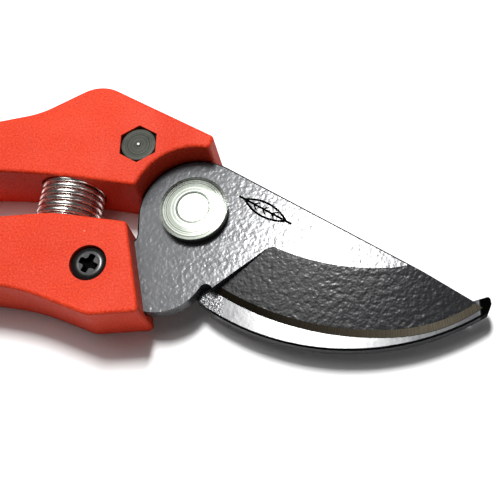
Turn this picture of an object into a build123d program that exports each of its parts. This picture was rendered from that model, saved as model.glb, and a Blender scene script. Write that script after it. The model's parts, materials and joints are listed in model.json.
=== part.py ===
from build123d import *
import math
import os

# One-hand bypass pruning shears, closed, lying flat on their side.
# Plan view: the pivot axis is at x = 0, y = 0, the blades point to +X and the grips to -X.
# Height: the grips lie on z = 0.  All sizes are millimetres and all angles are degrees.
# The cutting blade is fixed in the lower grip (-Y side) and the hook blade in the upper grip.

# Grips
HANDLE_THICKNESS = 19.0
HANDLE_EDGE_ROUND = 0.9
HANDLE_CORNER_ROUND = 1.2
GRIP_LENGTH = 140.0          # pivot axis to the rear ends of the grips
CHIN = (-24.6, -29.2)        # lowest point of the lower grip's front, on its top face
CHIN_ROUND = 6.0
LOWER_FRONT = (-11.9, -28.9) # front corner of the lower grip, on its top face
CHIN_LEAN = 4.0              # the wall between those two leans in towards the underside
OPENING_ANGLE = 29.0         # how far the lower grip swings from the closed pose

# Blades: the cutting blade slides on top of the hook blade at the shear height
SHEAR_HEIGHT = 8.2
BLADE_GAP = 0.05
BLADE_THICKNESS = 3.6
HOOK_THICKNESS = 3.8
PLATE_EDGE_ROUND = 0.5       # outer edges of the two blades
HEAD_RADIUS = 15.0           # round head of the cutting blade about the pivot
HEAD_CLEARANCE = 0.35        # round head to the hollow front of the upper grip
TIP_REACH = 4.0              # tip of the upper grip, beyond the round head
TIP_BEARING = 72.0
HOOK_BOSS_RADIUS = 13.0
SPINE_FALL = 33.5            # slope of the straight spine, down towards the tip

# Cutting edge: two arcs that meet at its lowest point
EDGE_LOW = (48.2, -34.6)
EDGE_REAR_RADIUS = 74.7
EDGE_FRONT_RADIUS = 39.1
EDGE_HEEL_X = 5.9
EDGE_LAND = 0.12             # thickness left at the very edge
GROUND_WIDTH = 1.6           # narrow steep band, ground last
GROUND_HEIGHT = 1.15
BEVEL_WIDTH = 16.6           # wide shallow hollow behind the ground band
SHOULDER_FOOT = (4.9, -20.8) # straight shoulder that ends the bevel near the heel
SHOULDER_TOP = (19.4, -10.4)
SAP_NOTCH = (3.1, -21.5)
SAP_NOTCH_RADIUS = 1.7

# Leaf mark pressed in the cutting blade
MARK_CENTRE = (18.1, -0.5)
MARK_LENGTH = 13.5
MARK_WIDTH = 4.4
MARK_LINE = 0.6
MARK_VEIN = 1.8
MARK_DEPTH = 0.35

# Hook blade
HOOK_OUTER_CENTRE = (40.1, 25.7)
HOOK_OUTER_RADIUS = 63.1
HOOK_INNER_CENTRE = (48.0, 22.0)
HOOK_INNER_RADIUS = 52.0
HOOK_THROAT_RADIUS = 4.0
HOOK_INNER_BEVEL = 2.2

# Pivot
SHANK_DIAMETER = 8.0
RUNNING_FIT = 0.05           # radial, blade on shank and catch on rivet
NECK_FLAT = 6.6              # across the flats of the neck that is keyed in the hook blade
KEY_FIT = 0.05
HEAD_DIAMETER = 17.6
HEAD_RIM = 2.3
HEAD_DOME = 0.45
HEAD_FLAT_RADIUS = 4.2
HEAD_WASHER_THICKNESS = 0.4
LOCK_WASHER_THICKNESS = 0.7
LOCK_WASHER_DIAMETER = 12.6
THREAD_DIAMETER = 6.6
PIVOT_NUT_FLATS = 11.0
PIVOT_NUT_THICKNESS = 2.8

# Grip fasteners: a blind sleeve nut on one side and a pan head screw on the other
UPPER_FASTENER_REACH = 7.3   # beyond the round head
UPPER_FASTENER_BEARING = 129.2
LOWER_FASTENER = (-25.2, -15.5)
SLEEVE_DIAMETER = 6.2
SLEEVE_FIT = 0.1
SLEEVE_FLATS = 9.0
SLEEVE_HEAD = 3.0
SLEEVE_SUNK = 0.5
SLEEVE_NUB = 0.5             # radius of the raised turning mark on the hex head
HEX_FIT = 0.25
HEX_TURN = 88.0
SCREW_DIAMETER = 4.0
THREAD_FIT = 0.05
SCREW_HEAD_DIAMETER = 9.1
SCREW_HEAD_FIT = 0.2
SCREW_HEAD = 2.6
SCREW_SUNK = 0.4
SCREW_SHOULDER = 0.8         # height of the rounded shoulder of the pan head
CROSS_SPAN = 5.6
CROSS_WING = 1.7
CROSS_DEPTH = 1.7
CROSS_TURN = -27.0

# Tangs in the grips
TANG_FIT = 0.15

# Return spring between the grips, on a circle about the pivot
SPRING_ORBIT = 34.4
SPRING_BEARING = 172.4
SPRING_DIAMETER = 17.0
SPRING_WIRE = 1.5
SPRING_CLOSED_LENGTH = 13.8
SPRING_SEAT_FIT = 0.3
PEG_FIT = 0.5
STOP_GAP = 0.25              # between the two pegs, which stop the grips when closed

# Catch at the rear ends
CATCH_THICKNESS = 1.8
CATCH_WASHER = 0.3
CATCH_PLAY = 0.03            # between the catch and each washer
CATCH_WASHER_DIAMETER = 7.5
CATCH_ARM = 22.0             # rivet to keeper pin
CATCH_WIDTH = 7.0
CATCH_TAB = 14.5
CATCH_SWING = 90.0
RIVET_INSET = 10.0           # from the rear end of the lower grip
RIVET_Y = -11.0
RIVET_DIAMETER = 3.0
RIVET_HEAD_DIAMETER = 5.4
RIVET_HEAD = 1.0
KEEPER_DIAMETER = 3.0
KEEPER_FIT = 0.2
SLOT_FIT = 0.4               # round the swinging catch

UP = (Align.CENTER, Align.CENTER, Align.MIN)
blade_base = SHEAR_HEIGHT + BLADE_GAP
blade_top = blade_base + BLADE_THICKNESS
hook_base = SHEAR_HEIGHT - HOOK_THICKNESS
middle_height = HANDLE_THICKNESS / 2
rivet_spot = (RIVET_INSET - GRIP_LENGTH, RIVET_Y)
keeper_spot = (rivet_spot[0], rivet_spot[1] + CATCH_ARM)


def polar(radius, angle):
    return Vector(radius * math.cos(math.radians(angle)), radius * math.sin(math.radians(angle)))


upper_fastener = tuple(polar(HEAD_RADIUS + UPPER_FASTENER_REACH, UPPER_FASTENER_BEARING))[:2]


def disc(spot, radius, base, top):
    """A round column from base to top."""
    return Pos(spot[0], spot[1], base) * Cylinder(radius, top - base, align=UP)


def slab(face, base, top):
    """A flat outline made into a plate from base to top."""
    return Pos(0, 0, base) * extrude(face, top - base)


def at_radius(edges, centre, radius):
    """Those edges whose middle lies on a circle about a vertical axis."""
    return [edge for edge in edges
            if abs(math.hypot(edge.center().X - centre[0], edge.center().Y - centre[1]) - radius) < 0.01]


def circle_below(centre, radius, x):
    """The point at x on the lower side of a circle."""
    return Vector(x, centre[1] - math.sqrt(radius ** 2 - (x - centre[0]) ** 2))


def rounded_outline(corners):
    """A closed face: straight runs between corners (x, y, radius), each corner a tangent arc."""
    spots = [Vector(x, y) for x, y, _ in corners]
    arcs = []
    for index, (_, _, radius) in enumerate(corners):
        spot = spots[index]
        back = (spots[index - 1] - spot).normalized()
        ahead = (spots[(index + 1) % len(spots)] - spot).normalized()
        half = math.radians(back.get_angle(ahead)) / 2
        reach = radius / math.tan(half)
        inwards = (back + ahead).normalized()
        arcs.append((spot + back * reach,
                     spot + inwards * (radius / math.sin(half) - radius),
                     spot + ahead * reach))
    edges = []
    for index, (start, middle, end) in enumerate(arcs):
        if corners[index][2] > 0:
            edges.append(ThreePointArc(start, middle, end))
        edges.append(Line(end, arcs[(index + 1) % len(arcs)][0]))
    return make_face(Curve() + edges)


def arc_about(centre, radius, start, end):
    """The lower arc of a circle between two of its points."""
    spot = Vector(*centre)
    between = ((start - spot) + (end - spot)).normalized() * radius
    return ThreePointArc(start, spot + between, end)


def ring_cutter(centre, profile):
    """A solid of revolution about a vertical axis at centre; the profile is (radius, height)."""
    section = make_face(Polyline(*[(r, 0, z) for r, z in profile], close=True))
    return Pos(centre[0], centre[1], 0) * revolve(section, Axis.Z)


# ---------------------------------------------------------------- cutting blade

def blade_tip():
    """Where the front arc of the cutting edge meets the spine."""
    centre = Vector(EDGE_LOW[0], EDGE_LOW[1] + EDGE_FRONT_RADIUS)
    across = polar(1, 90 - SPINE_FALL)
    along = polar(1, -SPINE_FALL)
    offset = HEAD_RADIUS - centre.dot(across)
    return centre + across * offset + along * math.sqrt(EDGE_FRONT_RADIUS ** 2 - offset ** 2)


def blade_outline():
    rear_centre = (EDGE_LOW[0], EDGE_LOW[1] + EDGE_REAR_RADIUS)
    front_centre = (EDGE_LOW[0], EDGE_LOW[1] + EDGE_FRONT_RADIUS)
    low = Vector(*EDGE_LOW)
    heel = circle_below(rear_centre, EDGE_REAR_RADIUS, EDGE_HEEL_X)
    tip = blade_tip()
    spine_start = polar(HEAD_RADIUS, 90 - SPINE_FALL)
    head_left = Vector(-HEAD_RADIUS, 0)
    # The neck below the head, its bulged lower side, and the run up to the heel
    neck = Vector(-HEAD_RADIUS, -5.0)
    neck_middle = Vector(-HEAD_RADIUS - 0.6, -6.8)
    neck_shoulder = Vector(-HEAD_RADIUS - 2.5, -8.2)
    bulge_centre = Vector(-9.2, -14.0)
    bulge_radius = 12.7
    bulge_start = bulge_centre + polar(bulge_radius, 223)
    bulge_end = bulge_centre + polar(bulge_radius, 327)
    edges = [
        ThreePointArc(spine_start, polar(HEAD_RADIUS, 120), head_left),
        Line(head_left, neck),
        ThreePointArc(neck, neck_middle, neck_shoulder),
        Line(neck_shoulder, bulge_start),
        ThreePointArc(bulge_start, bulge_centre + polar(bulge_radius, 275), bulge_end),
        Line(bulge_end, heel),
        arc_about(rear_centre, EDGE_REAR_RADIUS, heel, low),
        arc_about(front_centre, EDGE_FRONT_RADIUS, low, tip),
        Line(tip, spine_start),
    ]
    tang = rounded_outline([
        (-15.5, -8.2, 0),
        (-54.0, -8.0, 2.5),
        (-54.0, -14.0, 2.5),
        (-15.5, -24.6, 0),
    ])
    notch = Pos(*SAP_NOTCH) * Circle(SAP_NOTCH_RADIUS)
    return make_face(Curve() + edges) + tang - notch


def bevel_cutter():
    """Everything above the ground band and the wide bevel, right of the shoulder."""
    cones = []
    for radius, side in ((EDGE_REAR_RADIUS, Align.MAX), (EDGE_FRONT_RADIUS, Align.MIN)):
        centre = (EDGE_LOW[0], EDGE_LOW[1] + radius)
        cone = ring_cutter(centre, [
            (radius - BEVEL_WIDTH, blade_top),
            (radius - GROUND_WIDTH, blade_base + GROUND_HEIGHT),
            (radius, blade_base + EDGE_LAND),
            (radius + 5, blade_base + EDGE_LAND),
            (radius + 5, blade_top + 2),
            (radius - BEVEL_WIDTH, blade_top + 2),
        ])
        half = Pos(EDGE_LOW[0], EDGE_LOW[1], 0) * Box(80, 90, 40, align=(side, Align.CENTER, Align.MIN))
        cones.append(cone & half)
    foot = Vector(*SHOULDER_FOOT)
    top = Vector(*SHOULDER_TOP)
    start = foot - (top - foot).normalized() * 8
    zone = rounded_outline([
        (start.X, start.Y, 0),
        (top.X, top.Y, 3.0),
        (top.X + 9.0, top.Y - 3.6, 12.0),
        (80.0, -10.0, 0),
        (80.0, -60.0, 0),
        (start.X, -60.0, 0),
    ])
    prism = slab(zone, blade_base, blade_top + 1)
    return (cones[0] & prism) + (cones[1] & prism)


def leaf_mark():
    """A plain leaf outline with a midrib, pressed into the blade beside the pivot."""
    radius = (MARK_LENGTH ** 2 / 4 + MARK_WIDTH ** 2 / 4) / MARK_WIDTH
    rise = radius - MARK_WIDTH / 2
    leaf = Pos(0, rise) * Circle(radius) & Pos(0, -rise) * Circle(radius)
    inside = Pos(0, rise) * Circle(radius - MARK_LINE) & Pos(0, -rise) * Circle(radius - MARK_LINE)
    mark = (leaf - inside) + Rectangle(MARK_LENGTH * 1.18, MARK_LINE)
    vein = Pos(MARK_VEIN / 2, 0) * Rectangle(MARK_VEIN, MARK_LINE * 0.7)
    for share in (-0.26, -0.06, 0.14):
        for turn in (38, -38):
            mark += Pos(share * MARK_LENGTH, 0) * Rot(0, 0, turn) * vein
    place = Pos(*MARK_CENTRE, blade_top - MARK_DEPTH) * Rot(0, 0, -SPINE_FALL)
    return place * extrude(mark, MARK_DEPTH + 1)


def cutting_blade():
    plate = slab(blade_outline(), blade_base, blade_top)
    top_edges = plate.edges().group_by(Axis.Z)[-1]
    across = polar(1, 90 - SPINE_FALL)
    spine = [edge for edge in top_edges if abs(edge.center().dot(across) - HEAD_RADIUS) < 0.01]
    plate = fillet(spine + at_radius(top_edges, (0, 0), HEAD_RADIUS), PLATE_EDGE_ROUND)
    plate -= bevel_cutter()
    plate -= disc((0, 0), SHANK_DIAMETER / 2 + RUNNING_FIT, blade_base - 1, blade_top + 1)
    plate -= disc(LOWER_FASTENER, SLEEVE_DIAMETER / 2 + SLEEVE_FIT, blade_base - 1, blade_top + 1)
    return plate - leaf_mark()


# ---------------------------------------------------------------- hook blade

def hook_outline():
    back = circle_below(HOOK_OUTER_CENTRE, HOOK_OUTER_RADIUS, 4.6)
    front = circle_below(HOOK_OUTER_CENTRE, HOOK_OUTER_RADIUS, 71.0)
    inner_front = circle_below(HOOK_INNER_CENTRE, HOOK_INNER_RADIUS, 66.5)
    inner_back = circle_below(HOOK_INNER_CENTRE, HOOK_INNER_RADIUS, 6.0)
    nose_low = Vector(72.0, -27.2)
    nose_high = Vector(71.8, -25.2)
    edges = [
        arc_about(HOOK_OUTER_CENTRE, HOOK_OUTER_RADIUS, back, front),
        Line(front, nose_low),
        Line(nose_low, nose_high),
        Line(nose_high, inner_front),
        arc_about(HOOK_INNER_CENTRE, HOOK_INNER_RADIUS, inner_front, inner_back),
        Line(inner_back, (0, 0)),
        Line((0, 0), (-9.2, -9.2)),
        Line((-9.2, -9.2), (0.3, -22.6)),
        Line((0.3, -22.6), back),
    ]
    body = make_face(Curve() + edges)
    nose = body.vertices().sort_by_distance(nose_high)[0]
    body = fillet(nose, 0.7)
    boss = Circle(HOOK_BOSS_RADIUS)
    waist = Pos(-4.0, 8.0) * Circle(8.5)
    eye = Pos(*upper_fastener) * Circle(7.0)
    rear = Pos(-52.0, 20.0) * Circle(3.6)
    neck = make_hull(waist.edges() + eye.edges())
    tang = make_hull(eye.edges() + rear.edges())
    plate = body + boss + neck + tang
    throat = plate.vertices().sort_by_distance(polar(HOOK_BOSS_RADIUS, -54))[0]
    return fillet(throat, HOOK_THROAT_RADIUS)


def double_d(flat, diameter):
    return Circle(diameter / 2) & Rectangle(diameter, flat)


def hook_blade():
    plate = slab(hook_outline(), hook_base, SHEAR_HEIGHT)
    flat_edges = plate.edges().group_by(Axis.Z)
    rim = at_radius(flat_edges[0] + flat_edges[-1], HOOK_OUTER_CENTRE, HOOK_OUTER_RADIUS)
    plate = fillet(rim, PLATE_EDGE_ROUND)
    plate -= ring_cutter(HOOK_INNER_CENTRE, [
        (HOOK_INNER_RADIUS - 1, hook_base - 1),
        (HOOK_INNER_RADIUS + HOOK_INNER_BEVEL, hook_base),
        (HOOK_INNER_RADIUS, SHEAR_HEIGHT - 1.2),
        (HOOK_INNER_RADIUS - 1, SHEAR_HEIGHT - 1.2),
    ]) & slab(Pos(45, -26) * Rectangle(44, 20), hook_base - 1, SHEAR_HEIGHT)
    key = double_d(NECK_FLAT + 2 * KEY_FIT, SHANK_DIAMETER + 2 * KEY_FIT)
    plate -= slab(key, hook_base - 1, SHEAR_HEIGHT + 1)
    plate -= disc(upper_fastener, SLEEVE_DIAMETER / 2 + SLEEVE_FIT, hook_base - 1, SHEAR_HEIGHT + 1)
    return plate


# ---------------------------------------------------------------- pivot

def pivot_bolt():
    head_base = blade_top + HEAD_WASHER_THICKNESS
    rim = head_base + HEAD_RIM
    crown = rim + HEAD_DOME
    radius = HEAD_DIAMETER / 2
    dip = 0.12
    section = Curve() + [
        Line((0, 0, head_base), (radius, 0, head_base)),
        Line((radius, 0, head_base), (radius, 0, rim)),
        ThreePointArc((radius, 0, rim), (radius * 0.8, 0, rim + HEAD_DOME * 0.62), (HEAD_FLAT_RADIUS, 0, crown)),
        Line((HEAD_FLAT_RADIUS, 0, crown), (HEAD_FLAT_RADIUS - 0.2, 0, crown - dip)),
        Line((HEAD_FLAT_RADIUS - 0.2, 0, crown - dip), (0.7, 0, crown - dip)),
        Line((0.7, 0, crown - dip), (0, 0, crown - 3 * dip)),
        Line((0, 0, crown - 3 * dip), (0, 0, head_base)),
    ]
    bolt = revolve(make_face(section), Axis.Z)
    bolt += disc((0, 0), SHANK_DIAMETER / 2, SHEAR_HEIGHT, head_base)
    bolt += slab(double_d(NECK_FLAT, SHANK_DIAMETER), hook_base + 0.1, SHEAR_HEIGHT)
    nut_base = hook_base - LOCK_WASHER_THICKNESS - PIVOT_NUT_THICKNESS
    return bolt + disc((0, 0), THREAD_DIAMETER / 2, nut_base - 0.2, hook_base + 0.1)


def pivot_head_washer():
    ring = Circle(HEAD_DIAMETER / 2 - 0.6) - Circle(SHANK_DIAMETER / 2 + RUNNING_FIT)
    return slab(ring, blade_top, blade_top + HEAD_WASHER_THICKNESS)


def pivot_lock_washer():
    teeth = 12
    ring = Circle(LOCK_WASHER_DIAMETER / 2) - Circle(THREAD_DIAMETER / 2 + THREAD_FIT)
    for index in range(teeth):
        gap = Pos(LOCK_WASHER_DIAMETER / 2, 0) * Rectangle(1.8, 1.1)
        ring -= Rot(0, 0, 360 * index / teeth) * gap
    return slab(ring, hook_base - LOCK_WASHER_THICKNESS, hook_base)


def pivot_nut():
    top = hook_base - LOCK_WASHER_THICKNESS
    base = top - PIVOT_NUT_THICKNESS
    hexagon = RegularPolygon(PIVOT_NUT_FLATS / 2, 6, major_radius=False)
    nut = slab(hexagon, base, top)
    nut &= Pos(0, 0, base) * Cone(PIVOT_NUT_FLATS / 2, PIVOT_NUT_FLATS, PIVOT_NUT_FLATS / 2, align=UP)
    return nut - disc((0, 0), THREAD_DIAMETER / 2 + THREAD_FIT, base - 1, top + 1)


# ---------------------------------------------------------------- grip fasteners

def flipped(part):
    """Turned over about the middle height of the grips, so that its top is on the underside."""
    return mirror(part, Plane.XY.offset(middle_height))


def sleeve_length():
    """From the underside of the hex head to just short of the screw head."""
    return HANDLE_THICKNESS - SLEEVE_SUNK - SLEEVE_HEAD - SCREW_SUNK - SCREW_HEAD - 0.5


def sleeve_nut(spot):
    """Hex head on top, sleeve down through grip and tang, threaded from below."""
    head_top = HANDLE_THICKNESS - SLEEVE_SUNK
    head_base = head_top - SLEEVE_HEAD
    head = slab(Rot(0, 0, HEX_TURN) * RegularPolygon(SLEEVE_FLATS / 2, 6, major_radius=False), head_base, head_top)
    chamfer_radius = SLEEVE_FLATS / 2
    head &= Pos(0, 0, head_base) * Cone(chamfer_radius + 2 * SLEEVE_HEAD, chamfer_radius, SLEEVE_HEAD, align=UP)
    centre_mark = Pos(0, 0, head_top) * (Sphere(SLEEVE_NUB) & Cylinder(SLEEVE_NUB, SLEEVE_NUB, align=UP))
    sleeve = disc((0, 0), SLEEVE_DIAMETER / 2, head_base - sleeve_length(), head_base)
    bore = disc((0, 0), SCREW_DIAMETER / 2 + THREAD_FIT, head_base - sleeve_length() - 1, head_top - 1.2)
    return Pos(spot[0], spot[1], 0) * (head + sleeve + centre_mark - bore)


def pan_screw(spot):
    """Pan head sunk in the underside, with a cross recess; the thread points up."""
    low = SCREW_SUNK
    shoulder = low + SCREW_SHOULDER
    seat = SCREW_SUNK + SCREW_HEAD
    radius = SCREW_HEAD_DIAMETER / 2
    section = Curve() + [
        Line((0, 0, low), (radius * 0.55, 0, low)),
        ThreePointArc((radius * 0.55, 0, low), (radius * 0.89, 0, low + SCREW_SHOULDER * 0.42), (radius, 0, shoulder)),
        Line((radius, 0, shoulder), (radius, 0, seat)),
        Line((radius, 0, seat), (0, 0, seat)),
        Line((0, 0, seat), (0, 0, low)),
    ]
    screw = revolve(make_face(section), Axis.Z)
    cross = Rectangle(CROSS_SPAN, CROSS_WING) + Rectangle(CROSS_WING, CROSS_SPAN)
    inner_corners = cross.vertices().group_by(lambda corner: round(math.hypot(corner.X, corner.Y), 3))[0]
    cross = Rot(0, 0, CROSS_TURN) * fillet(inner_corners, CROSS_WING / 3)
    screw -= Pos(0, 0, low - 0.01) * extrude(cross, CROSS_DEPTH, taper=14)
    screw += disc((0, 0), SCREW_DIAMETER / 2, seat, HANDLE_THICKNESS - SLEEVE_SUNK - 2.2)
    return Pos(spot[0], spot[1], 0) * screw


def fastener_cuts(spot):
    """Hex pocket on top, counterbore below and the sleeve's hole between them."""
    pocket = Rot(0, 0, HEX_TURN) * RegularPolygon(SLEEVE_FLATS / 2 + HEX_FIT, 6, major_radius=False)
    cuts = slab(pocket, HANDLE_THICKNESS - SLEEVE_SUNK - SLEEVE_HEAD, HANDLE_THICKNESS + 1)
    cuts += disc((0, 0), SCREW_HEAD_DIAMETER / 2 + SCREW_HEAD_FIT, -1, SCREW_SUNK + SCREW_HEAD)
    cuts += disc((0, 0), SLEEVE_DIAMETER / 2 + SLEEVE_FIT, 0, HANDLE_THICKNESS)
    return Pos(spot[0], spot[1], 0) * cuts


# ---------------------------------------------------------------- spring

def spring_rod(radius, start, end):
    """A round rod on the spring's axis; distances run from the radial middle plane."""
    centre = polar(SPRING_ORBIT, SPRING_BEARING)
    axis = Plane(origin=(centre.X, centre.Y, middle_height), z_dir=polar(1, SPRING_BEARING - 90))
    return axis * (Pos(0, 0, start) * Cylinder(radius, end - start, align=UP))


def spring_seat(side):
    """The shallow round seat in a grip's inner wall; side is 1 for the upper grip."""
    radius = SPRING_DIAMETER / 2 + SPRING_SEAT_FIT
    ends = sorted((0, side * SPRING_CLOSED_LENGTH / 2))
    return spring_rod(radius, *ends)


def spring_peg(side):
    """The peg that holds the spring's end; the two pegs meet when the grips close."""
    radius = SPRING_DIAMETER / 2 - SPRING_WIRE - PEG_FIT
    ends = sorted((side * STOP_GAP / 2, side * (SPRING_CLOSED_LENGTH / 2 + 1)))
    return spring_rod(radius, *ends)


def return_spring():
    """The envelope of the close coils: a tube of the wire's thickness."""
    half = SPRING_CLOSED_LENGTH / 2
    tube = spring_rod(SPRING_DIAMETER / 2, -half, half)
    return tube - spring_rod(SPRING_DIAMETER / 2 - SPRING_WIRE, -half - 1, half + 1)


# ---------------------------------------------------------------- grips

def grip_body(corners):
    return slab(rounded_outline(corners), 0, HANDLE_THICKNESS)


def soften(body):
    """Round the long edges of the top and the underside."""
    top = body.edges().group_by(Axis.Z)[-1]
    low = body.edges().group_by(Axis.Z)[0]
    return fillet(top + low, HANDLE_EDGE_ROUND)


def catch_slot(top_half):
    """Room for the swinging catch between the two cheeks of a grip's rear end."""
    half = CATCH_THICKNESS / 2 + CATCH_PLAY + CATCH_WASHER
    reach = CATCH_ARM + CATCH_WIDTH / 2 + SLOT_FIT
    slot = disc(rivet_spot, reach, middle_height - half, middle_height + half)
    if top_half:
        return slot
    inner = Pos(rivet_spot[0], rivet_spot[1] - CATCH_WIDTH / 2 - SLOT_FIT - 1, 0)
    rear = Pos(rivet_spot[0] + CATCH_WIDTH / 2 + SLOT_FIT + 1, rivet_spot[1], 0)
    arm_room = inner * Box(90, 90, 60, align=(Align.CENTER, Align.MIN, Align.CENTER))
    tab_room = rear * Box(90, 90, 60, align=(Align.MAX, Align.CENTER, Align.CENTER))
    return slot & (arm_room + tab_room)


def upper_handle():
    rear = -GRIP_LENGTH
    tip = polar(HEAD_RADIUS + TIP_REACH, TIP_BEARING)
    inside_head = polar(HEAD_RADIUS - 2.0, TIP_BEARING + 1.5)
    body = grip_body([
        (-11.0, 4.6, 0),
        (-52.0, 13.4, 220.0),
        (rear + 38.0, 13.0, 70.0),
        (rear + 1.0, 4.0, 6.5),
        (rear, 17.5, 6.0),
        (rear + 42.0, 27.8, 90.0),
        (-62.0, 26.2, 60.0),
        (-41.5, 29.0, 22.0),
        (-25.0, 36.9, 9.5),
        (tip.X, tip.Y, HANDLE_CORNER_ROUND),
        (inside_head.X, inside_head.Y, 0),
    ])
    body -= disc((0, 0), HEAD_RADIUS + HEAD_CLEARANCE, -1, HANDLE_THICKNESS + 1)
    hollow_corners = at_radius(body.edges().filter_by(Axis.Z), (0, 0), HEAD_RADIUS + HEAD_CLEARANCE)
    body = fillet(hollow_corners, HANDLE_CORNER_ROUND)
    body = soften(body)
    body -= spring_seat(1)
    body += spring_peg(1)
    body -= slab(offset(hook_outline(), TANG_FIT), hook_base, SHEAR_HEIGHT)
    body -= fastener_cuts(upper_fastener)
    body -= catch_slot(True)
    return body - disc(keeper_spot, KEEPER_DIAMETER / 2, -1, HANDLE_THICKNESS + 1)


def lean_chin(body):
    """Lean the wall between the chin and the front corner, then round its two upright edges."""
    bearing = math.degrees(math.atan2(LOWER_FRONT[1] - CHIN[1], LOWER_FRONT[0] - CHIN[0]))
    outside = Box(90, 40, 90, align=(Align.CENTER, Align.MAX, Align.CENTER))
    body -= Pos(CHIN[0], CHIN[1], HANDLE_THICKNESS) * Rot(0, 0, bearing) * Rot(CHIN_LEAN, 0, 0) * outside
    for spot, radius in ((CHIN, CHIN_ROUND), (LOWER_FRONT, HANDLE_CORNER_ROUND)):
        goal = Vector(spot[0], spot[1], middle_height)
        upright = min(body.edges(), key=lambda edge: (edge.center() - goal).length)
        body = fillet(upright, radius)
    return body


def lower_handle():
    rear = -GRIP_LENGTH
    body = grip_body([
        (-16.1, -4.6, HANDLE_CORNER_ROUND),
        (*LOWER_FRONT, 0),
        (*CHIN, 0),
        (-42.5, -21.4, 60.0),
        (-66.0, -16.8, 60.0),
        (rear + 38.0, -21.6, 90.0),
        (rear, -17.6, 6.5),
        (rear + 0.8, -4.6, 5.5),
        (rear + 40.0, -2.0, 200.0),
        (-35.5, -0.8, 30.0),
    ])
    body = soften(lean_chin(body))
    body -= spring_seat(-1)
    body += spring_peg(-1)
    body -= slab(offset(blade_outline(), TANG_FIT), blade_base, blade_top)
    body -= flipped(fastener_cuts(LOWER_FASTENER))
    body -= catch_slot(False)
    return body - rivet_blank(0)


# ---------------------------------------------------------------- catch

def rivet_blank(play):
    """Shank and two countersunk heads, flush with both sides of the lower grip."""
    radius = RIVET_DIAMETER / 2 + play
    head = RIVET_HEAD_DIAMETER / 2 + play
    low = Cone(head, radius, RIVET_HEAD, align=UP)
    high = Pos(0, 0, HANDLE_THICKNESS - RIVET_HEAD) * Cone(radius, head, RIVET_HEAD, align=UP)
    shank = Cylinder(radius, HANDLE_THICKNESS, align=UP)
    return Pos(rivet_spot[0], rivet_spot[1], 0) * (low + high + shank)


def catch_hook():
    """Flat steel hook, folded into the lower grip: arm forwards, thumb tab to the rear."""
    mouth = KEEPER_DIAMETER / 2 + KEEPER_FIT
    hub = Circle(CATCH_WIDTH / 2)
    arm = Pos(CATCH_ARM / 2, 0) * Rectangle(CATCH_ARM, CATCH_WIDTH)
    nose = Pos(CATCH_ARM, 0) * Circle(CATCH_WIDTH / 2)
    outline = hub + arm + nose
    # The mouth opens on the leading side, which is +Y while the catch is folded
    outline -= Pos(CATCH_ARM, 0) * Circle(mouth)
    outline -= Pos(CATCH_ARM, CATCH_WIDTH / 2) * Rectangle(2 * mouth, CATCH_WIDTH)
    tab = rounded_outline([
        (0, -2.4, 0),
        (-CATCH_TAB, -3.6, 1.5),
        (-CATCH_TAB, 2.6, 2.5),
        (0, 2.4, 0),
    ])
    outline += tab
    for step in range(3):
        outline -= Pos(-CATCH_TAB - 0.25, -1.6 + 1.5 * step) * Circle(0.5)
    outline -= Circle(RIVET_DIAMETER / 2 + RUNNING_FIT)
    base = middle_height - CATCH_THICKNESS / 2
    return Pos(rivet_spot[0], rivet_spot[1], base) * extrude(outline, CATCH_THICKNESS)


def catch_washers():
    """A thin washer on each side of the catch."""
    ring = Circle(CATCH_WASHER_DIAMETER / 2) - Circle(RIVET_DIAMETER / 2 + RUNNING_FIT)
    high = middle_height + CATCH_THICKNESS / 2 + CATCH_PLAY
    washer = slab(Pos(*rivet_spot) * ring, high, high + CATCH_WASHER)
    return Compound([washer.solid(), flipped(washer).solid()])


def keeper_pin():
    return disc(keeper_spot, KEEPER_DIAMETER / 2, 0.4, HANDLE_THICKNESS - 0.4)


# ---------------------------------------------------------------- assembly

def build_nodes():
    """Every node, moved so that the origin is the middle of the underside of the whole tool."""
    nodes = {
        "upper_handle": upper_handle(),
        "hook_blade": hook_blade(),
        "pivot_bolt": pivot_bolt(),
        "pivot_head_washer": pivot_head_washer(),
        "pivot_lock_washer": pivot_lock_washer(),
        "pivot_nut": pivot_nut(),
        "upper_sleeve_nut": sleeve_nut(upper_fastener),
        "upper_screw": pan_screw(upper_fastener),
        "keeper_pin": keeper_pin(),
        "lower_handle": lower_handle(),
        "cutting_blade": cutting_blade(),
        "lower_sleeve_nut": flipped(sleeve_nut(LOWER_FASTENER)),
        "lower_screw": flipped(pan_screw(LOWER_FASTENER)),
        "catch_rivet": rivet_blank(0),
        "catch_washers": catch_washers(),
        "catch_hook": catch_hook(),
        "return_spring": return_spring(),
    }
    boxes = [node.bounding_box() for node in nodes.values()]
    middle_x = (min(box.min.X for box in boxes) + max(box.max.X for box in boxes)) / 2
    middle_y = (min(box.min.Y for box in boxes) + max(box.max.Y for box in boxes)) / 2
    shift = Pos(-middle_x, -middle_y, 0)
    return {name: shift * node for name, node in nodes.items()}, (-middle_x, -middle_y)


node_shapes, pivot_place = build_nodes()
os.makedirs("parts", exist_ok=True)
for node_name, node_shape in node_shapes.items():
    export_step(node_shape, f"parts/{node_name}.step")
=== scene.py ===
import json
import math

import bmesh
import bpy
from mathutils import Matrix, Vector


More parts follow.
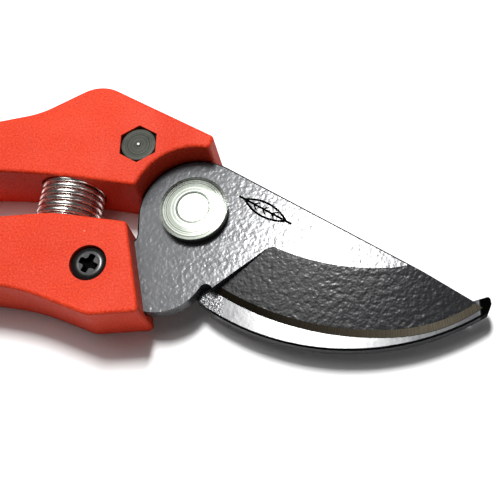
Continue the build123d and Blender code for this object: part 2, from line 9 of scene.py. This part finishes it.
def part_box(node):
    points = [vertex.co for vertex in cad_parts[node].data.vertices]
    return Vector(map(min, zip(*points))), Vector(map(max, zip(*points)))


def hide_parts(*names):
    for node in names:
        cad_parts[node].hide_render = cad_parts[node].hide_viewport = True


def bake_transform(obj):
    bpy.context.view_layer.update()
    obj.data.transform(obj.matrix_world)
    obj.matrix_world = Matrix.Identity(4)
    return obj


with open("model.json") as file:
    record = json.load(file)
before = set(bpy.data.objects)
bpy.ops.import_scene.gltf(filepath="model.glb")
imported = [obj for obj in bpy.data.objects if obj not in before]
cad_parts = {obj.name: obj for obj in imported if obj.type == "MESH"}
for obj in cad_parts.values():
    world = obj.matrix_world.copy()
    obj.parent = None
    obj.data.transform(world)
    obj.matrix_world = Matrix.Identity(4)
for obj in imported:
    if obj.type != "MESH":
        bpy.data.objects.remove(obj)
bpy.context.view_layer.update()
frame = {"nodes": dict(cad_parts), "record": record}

# Lengths are written in millimetres and turned into metres where they are used.
MM = 0.001
record = frame["record"]
nodes = frame["nodes"]
joints = {joint["name"]: joint for joint in record["behaviour"]["joints"]}
PIVOT = Vector(joints["blade_pivot"]["pos_m"])
PIVOT.z = 0.0

# Sizes that part.py also holds, measured from the pivot axis on the underside
SPRING_ORBIT = 34.4          # middle of the spring, from the pivot axis
SPRING_BEARING = 172.4       # degrees
SPRING_DIAMETER = 17.0
SPRING_WIRE = 1.5
SPRING_LENGTH = 13.8         # with the shears closed
GROUND_HEIGHT = 1.15         # narrow steep band along the cutting edge
MARK_DEPTH = 0.35            # pressed leaf
MARK_CENTRE = (18.1, -0.5)
EDGE_CENTRE = (48.2, 40.1)   # of the rear arc of the cutting edge

# Where the looks change
MARK_REACH = 9.0             # the pressed leaf lies within this radius of its centre
MARK_MARGIN = 0.05           # what counts as pressed starts this far below the leaf's floor
MARK_RISE = 0.1              # and ends this far above it
MARK_SOFT = 0.02
CROSS_REACH = 3.0            # the cross recess lies within this radius of a screw's axis
CROSS_SHALLOW = 0.25         # a screw's cross recess turns from rubbed to dull black painted shade between these depths
CROSS_DEEP = 0.5
CENTRE_MARK = 0.75           # radius of a turned centre mark
DARKER_TO = 15.0            # the ground band is darker behind this distance in front of the pivot
LIGHTER_FROM = 62.0             # and lighter beyond this one
NOSE_X = 68.8                # the hook is painted dull black beyond this distance in front of the pivot, painted shade for its angled nose
NOSE_FADE = 0.6
HEEL_SMOOTH = 7.2            # the hook's scale fades in from this distance in front of the pivot
HEEL_ROUGH = 4.8             # to this one
FLOOR_GAP = 0.1              # between the underside and the floor

# Thresholds of the upward slope of the surface, which is 1 on the flats
GROUND_SLOPE = (0.60, 0.93)
BEVEL_SLOPE = (0.975, 0.993)
FLAT_SLOPE = (0.995, 0.998)
ROUNDED_SLOPE = (0.15, 0.955)

# Painted highlight for the middle of turned heads and nubs.
PAINTED_GLINT_ZINC = (0.80, 0.80, 0.76)
ZINC = (0.42, 0.44, 0.40)
ZINC_DARK = (0.10, 0.12, 0.09)
DULL = (0.026, 0.027, 0.023)
DULL_DARK = (0.010, 0.011, 0.009)
# Painted shade for rounded edges, recesses and the hook's nose; also the colour of pits.
PAINTED_SHADE_AND_PIT_BLACK = (0.003, 0.003, 0.003)


def from_pivot(x, y, z):
    """A place in the frame, from millimetres measured at the pivot axis on the underside."""
    return PIVOT + Vector((x, y, z)) * MM


def middle_of(node):
    low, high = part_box(node)
    return (low + high) / 2


# ---------------------------------------------------------------- studio

def camera():
    """A close view from above and in front, rolled so that the tool lies along the picture."""
    place = from_pivot(42.53, -103.65, 222.0)
    back = Vector((0.1225, -0.3991, 0.9087)).normalized()
    up = Vector((0.0533, 0.9169, 0.3955))
    data = bpy.data.cameras.new("photo_camera")
    data.sensor_width = 36.0
    data.lens = 66.63
    data.clip_start = 0.01
    obj = bpy.data.objects.new("photo_camera", data)
    bpy.context.scene.collection.objects.link(obj)
    right = up.cross(back).normalized()
    up = back.cross(right)
    turn = Matrix((right, up, back)).transposed().to_4x4()
    obj.matrix_world = Matrix.Translation(place) @ turn
    bpy.context.scene.camera = obj


def area_light(name, place, size, power, aim=(0, 0, 0), roll=0.0):
    """A soft box; place and aim in millimetres from the pivot, size in metres, roll in degrees."""
    data = bpy.data.lights.new(name, "AREA")
    data.shape = "RECTANGLE"
    data.size, data.size_y = size
    data.energy = power
    obj = bpy.data.objects.new(name, data)
    bpy.context.scene.collection.objects.link(obj)
    spot = from_pivot(*place)
    facing = (spot - from_pivot(*aim)).to_track_quat("Z", "Y").to_matrix().to_4x4()
    obj.matrix_world = Matrix.Translation(spot) @ facing @ Matrix.Rotation(math.radians(roll), 4, "Z")


def studio():
    """A dim white room with a key light, a wide halo round it, and a low fill from the front."""
    world = bpy.data.worlds.new("studio")
    bpy.context.scene.world = world
    world.use_nodes = True
    background = world.node_tree.nodes["Background"]
    background.inputs["Color"].default_value = (1.0, 1.0, 1.0, 1.0)
    background.inputs["Strength"].default_value = 0.06
    bpy.context.scene.view_settings.view_transform = "Standard"
    area_light("key", (-3, 262, 700), (0.108, 0.19), 8.0, roll=-15)
    area_light("halo", (-150, 250, 720), (0.44, 0.58), 2.2)
    area_light("fill", (200, -500, 170), (0.22, 0.20), 0.26, aim=(40, -20, 0))


# ---------------------------------------------------------------- materials

class Surface:
    """A Principled material whose nodes are added one call at a time."""

    def __init__(self, name, color, roughness, metallic=0.0, specular=0.5):
        self.material = bpy.data.materials.new(name)
        self.material.use_nodes = True
        self.material.diffuse_color = (*color, 1.0)
        self.tree = self.material.node_tree
        self.shader = self.tree.nodes["Principled BSDF"]
        self.put("Base Color", (*color, 1.0))
        self.put("Roughness", roughness)
        self.put("Metallic", metallic)
        self.put("Specular IOR Level", specular)
        self.place = self.add("ShaderNodeTexCoord").outputs["Object"]
        self.heights = []

    def add(self, kind, *values, **settings):
        """A node; values are what its first inputs get, sockets or constants."""
        node = self.tree.nodes.new(kind)
        for key, value in settings.items():
            setattr(node, key, value)
        for socket, value in zip(node.inputs, values):
            self.feed(socket, value)
        return node

    def feed(self, socket, value):
        if isinstance(value, bpy.types.NodeSocket):
            self.tree.links.new(value, socket)
        elif value is not None:
            socket.default_value = value

    def put(self, name, value):
        self.feed(self.shader.inputs[name], value)

    def maths(self, operation, a, b=0.0):
        return self.add("ShaderNodeMath", a, b, operation=operation).outputs[0]

    def product(self, a, b):
        return self.maths("MULTIPLY", a, b)

    def larger(self, a, b):
        return self.maths("MAXIMUM", a, b)

    def outside(self, share):
        """1 where the share is 0, and the other way round."""
        return self.maths("SUBTRACT", 1.0, share)

    def noise(self, scale, detail=2.0, rough=0.5, place=None, stretch=None):
        """A noise value from 0 to 1; scale is in features per metre."""
        place = place or self.place
        if stretch:
            place = self.vector("MULTIPLY", place, stretch)
        node = self.add("ShaderNodeTexNoise")
        self.feed(node.inputs["Vector"], place)
        node.inputs["Scale"].default_value = scale
        node.inputs["Detail"].default_value = detail
        node.inputs["Roughness"].default_value = rough
        return node.outputs["Fac"]

    def cells(self, scale, offset=(0, 0, 0)):
        """The distance to the nearest of many scattered points, and that point's own random number."""
        place = self.vector("ADD", self.place, offset)
        node = self.add("ShaderNodeTexVoronoi")
        self.feed(node.inputs["Vector"], place)
        node.inputs["Scale"].default_value = scale
        chance = self.add("ShaderNodeSeparateXYZ", node.outputs["Color"]).outputs[0]
        return node.outputs["Distance"], chance

    def specks(self, scale, radius, share, offset=(0, 0, 0)):
        """1 inside a few small round spots and 0 elsewhere."""
        distance, chance = self.cells(scale, offset)
        near = self.band(distance, 0.0, radius, soft=radius * 0.4)
        return self.product(near, self.maths("LESS_THAN", chance, share))

    def spread(self, value, low, high, to_low=0.0, to_high=1.0):
        """The value's place between low and high, held to those two, as a number from to_low to to_high."""
        return self.add("ShaderNodeMapRange", value, low, high, to_low, to_high).outputs[0]

    def band(self, value, low, high, soft=0.0001):
        """1 where the value is between low and high, with soft sides."""
        rise = self.spread(value, low - soft, low)
        fall = self.spread(value, high, high + soft, 1.0, 0.0)
        return self.product(rise, fall)

    def mix(self, share, first, second):
        """A colour between two; each is a colour or a socket."""
        node = self.add("ShaderNodeMix", data_type="RGBA")
        self.feed(node.inputs[0], share)
        for socket, color in ((node.inputs[6], first), (node.inputs[7], second)):
            if isinstance(color, tuple) and len(color) == 3:
                color = (*color, 1.0)
            self.feed(socket, color)
        return node.outputs[2]

    def blend_values(self, share, first, second):
        node = self.add("ShaderNodeMix", share, data_type="FLOAT")
        self.feed(node.inputs[2], first)
        self.feed(node.inputs[3], second)
        return node.outputs[0]

    def relief(self, height, depth):
        """Adds a bump; the height runs from 0 to 1 and the depth is in millimetres."""
        self.heights.append(self.product(height, depth * MM))

    def finish(self):
        """The material, with all its relief joined in one bump."""
        if self.heights:
            total = self.heights[0]
            for height in self.heights[1:]:
                total = self.maths("ADD", total, height)
            bump = self.add("ShaderNodeBump")
            bump.inputs["Strength"].default_value = 1.0
            bump.inputs["Distance"].default_value = 1.0
            self.feed(bump.inputs["Height"], total)
            self.put("Normal", bump.outputs["Normal"])
        return self.material

    def vector(self, operation, a, b):
        return self.add("ShaderNodeVectorMath", a, b, operation=operation).outputs[0]

    def from_axis(self, centre):
        """The place measured from a vertical axis."""
        return self.vector("ADD", self.place, (-centre.x, -centre.y, 0))

    def radius_about(self, centre):
        """Distance in metres from a vertical axis."""
        flat = self.vector("MULTIPLY", self.from_axis(centre), (1, 1, 0))
        return self.add("ShaderNodeVectorMath", flat, operation="LENGTH").outputs["Value"]

    def within(self, centre, radius):
        """1 nearer to a vertical axis than the radius, in millimetres."""
        return self.maths("LESS_THAN", self.radius_about(centre), radius * MM)

    def rings(self, centre, scale):
        """Uneven concentric turning marks from 0 to 1."""
        along = self.add("ShaderNodeCombineXYZ", self.radius_about(centre)).outputs[0]
        return self.noise(scale, detail=4.0, rough=0.65, place=along)

    def radial_lines(self, centre):
        """Fine grinding scratches that run across the cutting edge."""
        parts = self.add("ShaderNodeSeparateXYZ", self.from_axis(centre)).outputs
        angle = self.maths("ARCTAN2", parts[1], parts[0])
        along = self.add("ShaderNodeCombineXYZ", angle).outputs[0]
        return self.noise(260, detail=4.0, rough=0.7, place=along)

    def upward(self):
        """How far the surface faces up, from -1 to 1; every joint turns about a vertical axis."""
        normal = self.add("ShaderNodeNewGeometry").outputs["True Normal"]
        return self.add("ShaderNodeSeparateXYZ", normal).outputs[2]

    def height(self):
        return self.add("ShaderNodeSeparateXYZ", self.place).outputs[2]

    def ahead(self, start, end):
        """0 to 1 between two distances in front of the pivot, in millimetres."""
        sideways = self.add("ShaderNodeSeparateXYZ", self.place).outputs[0]
        return self.spread(sideways, from_pivot(start, 0, 0).x, from_pivot(end, 0, 0).x)


def handle_plastic():
    """Orange-red moulded nylon with a fine spark-eroded grain, a little dust and a few scuffs."""
    look = Surface("orange_nylon", (0.58, 0.036, 0.012), 0.60, specular=0.12)
    grain = look.noise(2000, detail=3.0, rough=0.7)
    cloud = look.noise(45, detail=3.0)
    body = look.mix(look.spread(cloud, 0.3, 0.7), (0.48, 0.028, 0.008), (0.54, 0.035, 0.010))
    pale = look.mix(look.spread(grain, 0.52, 0.70, 0.0, 0.6), body, (0.76, 0.086, 0.032))
    dark = look.mix(look.spread(grain, 0.30, 0.48, 0.8, 0.0), pale, (0.32, 0.012, 0.004))
    dust = look.specks(420, 0.07, 0.012)
    look.put("Base Color", look.mix(look.product(dust, 0.4), dark, (0.90, 0.50, 0.38)))
    rub = look.noise(110, detail=4.0, rough=0.6)
    look.put("Roughness", look.spread(rub, 0.3, 0.7, 0.48, 0.64))
    look.relief(grain, 0.08)
    look.relief(look.noise(380, detail=2.0), 0.04)
    return look.finish()


def ground_band(look, up, height):
    """1 on the narrow steep band along the cutting edge, on top of the blade."""
    plate_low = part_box("cutting_blade")[0].z
    slope = look.band(up, *GROUND_SLOPE, soft=0.02)
    low_down = look.maths("LESS_THAN", height, plate_low + (GROUND_HEIGHT + 0.1) * MM)
    ground = look.product(slope, low_down)
    return look.product(ground, look.maths("GREATER_THAN", height, plate_low))


def pressed_leaf(look, height):
    """1 on the floor of the pressed leaf."""
    floor_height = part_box("pivot_head_washer")[0].z - MARK_DEPTH * MM
    low = floor_height - MARK_MARGIN * MM
    high = floor_height + MARK_RISE * MM
    pressed = look.band(height, low, high, soft=MARK_SOFT * MM)
    return look.product(pressed, look.within(from_pivot(*MARK_CENTRE, 0), MARK_REACH))


def ground_steel(look, lines):
    """Scratched steel, darker towards the heel and lighter towards the tip."""
    streaks = look.spread(lines, 0.35, 0.65)
    tip_light_steel = look.mix(streaks, (0.20, 0.16, 0.11), (0.50, 0.44, 0.33))
    heel_dark_steel = look.mix(streaks, (0.025, 0.019, 0.013), (0.07, 0.055, 0.038))
    # The band runs from darker towards the heel to lighter towards the tip.
    return look.mix(look.ahead(DARKER_TO, LIGHTER_FROM), heel_dark_steel, tip_light_steel)


def lacquer(name, centre, flat_color_with_painted_sheen, bumps, nose=None):
    """Black lacquer over a forged plate, with peel, pits and a ground band. The flats get a lighter grey as
    painted sheen, and the bevel a darker black as painted shade.

    Bumps is the share of the bevel's waves that the flats show. Nose is the distance in front of the
    pivot, in millimetres, beyond which the plate is painted dull black as painted shade of its angled nose;
    such a plate also has rough scale at its heel.
    """
    look = Surface(name, (0.020, 0.021, 0.024), 0.20, specular=0.3)
    up = look.upward()
    height = look.height()
    ground = ground_band(look, up, height)
    bevel = look.band(up, *BEVEL_SLOPE, soft=0.003)
    face = look.spread(up, *FLAT_SLOPE)

    peel = look.noise(950, detail=1.0, rough=0.5)
    coarse = look.noise(760, detail=1.5, rough=0.5)
    pits = look.specks(330, 0.06, 0.08)
    chips = look.specks(500, 0.08, 0.05, offset=(0.3, 0.1, 0.2))
    lines = look.radial_lines(centre)
    look.relief(look.product(peel, look.blend_values(bevel, 1.6 * bumps, 0.7)), 0.10)
    look.relief(look.product(coarse, look.blend_values(bevel, bumps, 0.62)), 0.17)
    look.relief(look.product(pits, look.outside(ground)), -0.12)
    look.relief(look.product(lines, ground), 0.012)

    # The rounded edges and the bevel's steep shoulder wall are painted dull black: painted shade.
    painted_shade_and_pits = look.band(up, *ROUNDED_SLOPE, soft=0.015)
    painted_shade_and_pits = look.product(painted_shade_and_pits, look.outside(ground))
    # The pressed leaf's floor is painted dull black too: painted shade in its recess.
    painted_shade_and_pits = look.larger(painted_shade_and_pits, pressed_leaf(look, height))
    painted_shade_and_pits = look.larger(painted_shade_and_pits, pits)
    if nose:
        # Beyond the nose distance the hook is painted dull black: painted shade for its angled end facet.
        painted_shade_and_pits = look.larger(painted_shade_and_pits, look.ahead(nose, nose + NOSE_FADE))
        scale_skin = look.maths("SUBTRACT", look.noise(1900, detail=1.0), 0.5)
        look.relief(look.product(scale_skin, look.ahead(HEEL_SMOOTH, HEEL_ROUGH)), 0.16)

    black = look.mix(look.noise(90, detail=4.0), (0.012, 0.013, 0.015), (0.026, 0.027, 0.030))
    # The flats get a lighter grey than the lacquer's own black: painted sheen standing in for the room's
    # reflection.
    black = look.mix(face, black, flat_color_with_painted_sheen)
    # The bevel gets a darker black: painted shade for its tilt, which reflects the dark room.
    black = look.mix(bevel, black, (0.012, 0.0125, 0.0135))
    black = look.mix(chips, black, (0.16, 0.16, 0.15))
    # Painted shade: the edges, the shoulder, the leaf's floor and the nose go dull black, and so do the
    # pits.
    black = look.mix(painted_shade_and_pits, black, PAINTED_SHADE_AND_PIT_BLACK)
    gloss = look.spread(look.noise(260, detail=3.0), 0.3, 0.7, 0.16, 0.22)
    gloss = look.blend_values(bevel, gloss, 0.24)
    gloss = look.blend_values(painted_shade_and_pits, gloss, 0.95)
    look.put("Base Color", look.mix(ground, black, ground_steel(look, lines)))
    look.put("Metallic", look.larger(ground, painted_shade_and_pits))
    look.put("Roughness", look.blend_values(ground, gloss, 0.42))
    return look.finish()


def turned(name, centre, color, dark, roughness, depth, ring_scale=2200, painted_glint_radius=0.0):
    """Plated steel with turning marks round a vertical axis; the last argument is the radius in mm of a
    bright middle, a painted highlight.
    """
    look = Surface(name, color, roughness, metallic=1.0)
    rings = look.rings(centre, ring_scale)
    stain = look.noise(240, detail=4.0, rough=0.6)
    tint = look.mix(look.spread(rings, 0.40, 0.58), dark, color)
    plate = look.mix(look.spread(stain, 0.55, 0.8, 0.0, 0.5), tint, dark)
    # The middle is painted bright zinc: a painted highlight.
    look.put("Base Color", look.mix(look.within(centre, painted_glint_radius), plate, PAINTED_GLINT_ZINC))
    gloss = look.spread(stain, 0.3, 0.7, roughness * 0.8, roughness * 1.25)
    look.put("Roughness", look.blend_values(look.within(centre, CENTRE_MARK), gloss, 0.7))
    look.relief(rings, depth)
    return look.finish()


def black_oxide(name, centre, face_height):
    """Blackened screw steel, rubbed a little on its crests, with painted shade in dull black in its cross
    recess.
    """
    look = Surface(name, (0.020, 0.020, 0.020), 0.26, metallic=0.6)
    wear = look.noise(900, detail=4.0, rough=0.65)
    rubbed = look.mix(look.spread(wear, 0.6, 0.85), (0.016, 0.016, 0.016), (0.055, 0.053, 0.048))
    depth = look.maths("ABSOLUTE", look.maths("SUBTRACT", look.height(), face_height))
    deep = look.spread(depth, CROSS_SHALLOW * MM, CROSS_DEEP * MM)
    recess = look.product(deep, look.within(centre, CROSS_REACH))
    # The cross recess is painted black: painted shade in the recess.
    look.put("Base Color", look.mix(recess, rubbed, PAINTED_SHADE_AND_PIT_BLACK))
    gloss = look.spread(wear, 0.3, 0.7, 0.20, 0.32)
    look.put("Roughness", look.blend_values(recess, gloss, 0.8))
    look.put("Metallic", look.blend_values(recess, 0.6, 1.0))
    look.relief(wear, 0.006)
    return look.finish()


def rolled_steel(name, color, dark, roughness):
    """Plain sheet or bar steel with a slight mill grain, for washers, catch and pins."""
    look = Surface(name, color, roughness, metallic=1.0)
    grain = look.noise(700, detail=4.0, rough=0.6, stretch=(0.12, 1.0, 1.0))
    stain = look.noise(160, detail=4.0, rough=0.6)
    tint = look.mix(look.spread(grain, 0.35, 0.65), dark, color)
    look.put("Base Color", look.mix(look.spread(stain, 0.5, 0.8, 0.0, 0.6), tint, dark))
    look.put("Roughness", look.spread(stain, 0.3, 0.7, roughness * 0.75, roughness * 1.3))
    look.relief(grain, 0.01)
    return look.finish()


def spring_wire():
    """Bright drawn wire with faint draw marks and specks of grime."""
    look = Surface("spring_wire", (0.80, 0.79, 0.76), 0.20, metallic=1.0)
    marks = look.noise(1600, detail=3.0, rough=0.6)
    grime = look.noise(420, detail=4.0, rough=0.65)
    dirty = look.spread(grime, 0.58, 0.75)
    look.put("Base Color", look.mix(dirty, (0.82, 0.81, 0.78), (0.35, 0.33, 0.29)))
    look.put("Roughness", look.spread(grime, 0.35, 0.7, 0.14, 0.34))
    look.relief(marks, 0.006)
    return look.finish()


def floor_paper():
    """Plain white paper, a little uneven."""
    look = Surface("floor_paper", (0.86, 0.86, 0.86), 0.9, specular=0.1)
    look.put("Base Color", look.mix(look.noise(30, detail=2.0), (0.85, 0.85, 0.85), (0.88, 0.88, 0.88)))
    return look.finish()


# ---------------------------------------------------------------- pieces

def mesh_object(name, bm):
    mesh = bpy.data.meshes.new(name)
    bm.to_mesh(mesh)
    bm.free()
    obj = bpy.data.objects.new(name, mesh)
    bpy.context.scene.collection.objects.link(obj)
    return obj


def floor():
    bm = bmesh.new()
    bmesh.ops.create_grid(bm, x_segments=1, y_segments=1, size=1.5)
    obj = mesh_object("floor", bm)
    obj.data.materials.append(floor_paper())
    obj.location.z = -FLOOR_GAP * MM


def coil_spring():
    """The compression spring as a real helix; its ends sit on the seats of the two grips."""
    turns = 7.0
    steps = 44              # cross-sections in each turn
    sides = 12
    bearing = math.radians(SPRING_BEARING)
    centre = from_pivot(SPRING_ORBIT * math.cos(bearing), SPRING_ORBIT * math.sin(bearing), 0.0)
    centre.z = middle_of("return_spring").z
    outward = Vector((math.cos(bearing), math.sin(bearing), 0.0))
    axis = Vector((math.sin(bearing), -math.cos(bearing), 0.0))
    upward = Vector((0.0, 0.0, 1.0))
    coil_radius = (SPRING_DIAMETER - SPRING_WIRE) / 2 * MM
    wire_radius = SPRING_WIRE / 2 * MM
    rise = (SPRING_LENGTH - SPRING_WIRE) * MM
    count = int(turns * steps) + 1
    bm = bmesh.new()
    rings = []
    for index in range(count):
        share = index / (count - 1)
        turn = 2 * math.pi * turns * share
        ray = outward * math.cos(turn) + upward * math.sin(turn)
        middle = centre + ray * coil_radius + axis * rise * (share - 0.5)
        ring = []
        for side in range(sides):
            angle = 2 * math.pi * side / sides
            away = ray * math.cos(angle) + axis * math.sin(angle)
            ring.append(bm.verts.new(middle + away * wire_radius))
        rings.append(ring)
    for first, second in zip(rings, rings[1:]):
        for side in range(sides):
            ahead = (side + 1) % sides
            bm.faces.new((first[side], first[ahead], second[ahead], second[side])).smooth = True
    bm.faces.new(rings[0])
    bm.faces.new(list(reversed(rings[-1])))
    bmesh.ops.recalc_face_normals(bm, faces=bm.faces)
    obj = mesh_object("coil_spring", bm)
    obj.data.materials.append(spring_wire())
    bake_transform(obj)
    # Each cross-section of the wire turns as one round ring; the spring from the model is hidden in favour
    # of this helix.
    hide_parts("return_spring")


def dress(node, look):
    materials = nodes[node].data.materials
    materials.clear()
    materials.append(look)


studio()
camera()
floor()
coil_spring()

plastic = handle_plastic()
edge_centre = from_pivot(*EDGE_CENTRE, 0.0)
pivot_middle = middle_of("pivot_bolt")
upper_screw_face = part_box("upper_screw")[0].z
lower_screw_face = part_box("lower_screw")[1].z
looks = {
    "upper_handle": plastic,
    "lower_handle": plastic,
    # The third value of each lacquer is the flats' lighter grey, a painted sheen.
    "cutting_blade": lacquer("blade_lacquer", edge_centre, (0.062, 0.065, 0.070), 0.26),
    "hook_blade": lacquer("hook_lacquer", edge_centre, (0.045, 0.047, 0.052), 0.04, NOSE_X),
    # The pivot head's bright middle, out to 3.6 mm, is a painted highlight.
    "pivot_bolt": turned(
        "pivot_zinc", pivot_middle, (0.36, 0.38, 0.34), (0.04, 0.05, 0.04), 0.17, 0.02,
        ring_scale=2400, painted_glint_radius=3.6,
    ),
    "pivot_head_washer": rolled_steel("head_washer_steel", (0.16, 0.16, 0.16), (0.07, 0.07, 0.07), 0.4),
    "pivot_lock_washer": rolled_steel("lock_washer_steel", (0.30, 0.30, 0.29), (0.12, 0.12, 0.12), 0.35),
    "pivot_nut": turned("pivot_nut_zinc", pivot_middle, (0.45, 0.46, 0.44), (0.22, 0.23, 0.21), 0.34, 0.03),
    "upper_screw": black_oxide("upper_screw_oxide", middle_of("upper_screw"), upper_screw_face),
    "lower_screw": black_oxide("lower_screw_oxide", middle_of("lower_screw"), lower_screw_face),
    "keeper_pin": turned("keeper_steel", middle_of("keeper_pin"), ZINC, ZINC_DARK, 0.28, 0.02),
    "catch_rivet": turned("rivet_steel", middle_of("catch_rivet"), ZINC, ZINC_DARK, 0.32, 0.02),
    "catch_washers": rolled_steel("catch_washer_steel", (0.5, 0.5, 0.49), (0.25, 0.25, 0.24), 0.3),
    "catch_hook": rolled_steel("catch_zinc", (0.62, 0.62, 0.60), (0.34, 0.34, 0.32), 0.32),
}
for side in ("upper", "lower"):
    node = side + "_sleeve_nut"
    # Each sleeve nut's bright centre nub is a painted highlight.
    looks[node] = turned(side + "_nut_steel", middle_of(node), DULL, DULL_DARK, 0.42, 0.03, painted_glint_radius=0.45)
for node, look in looks.items():
    dress(node, look)
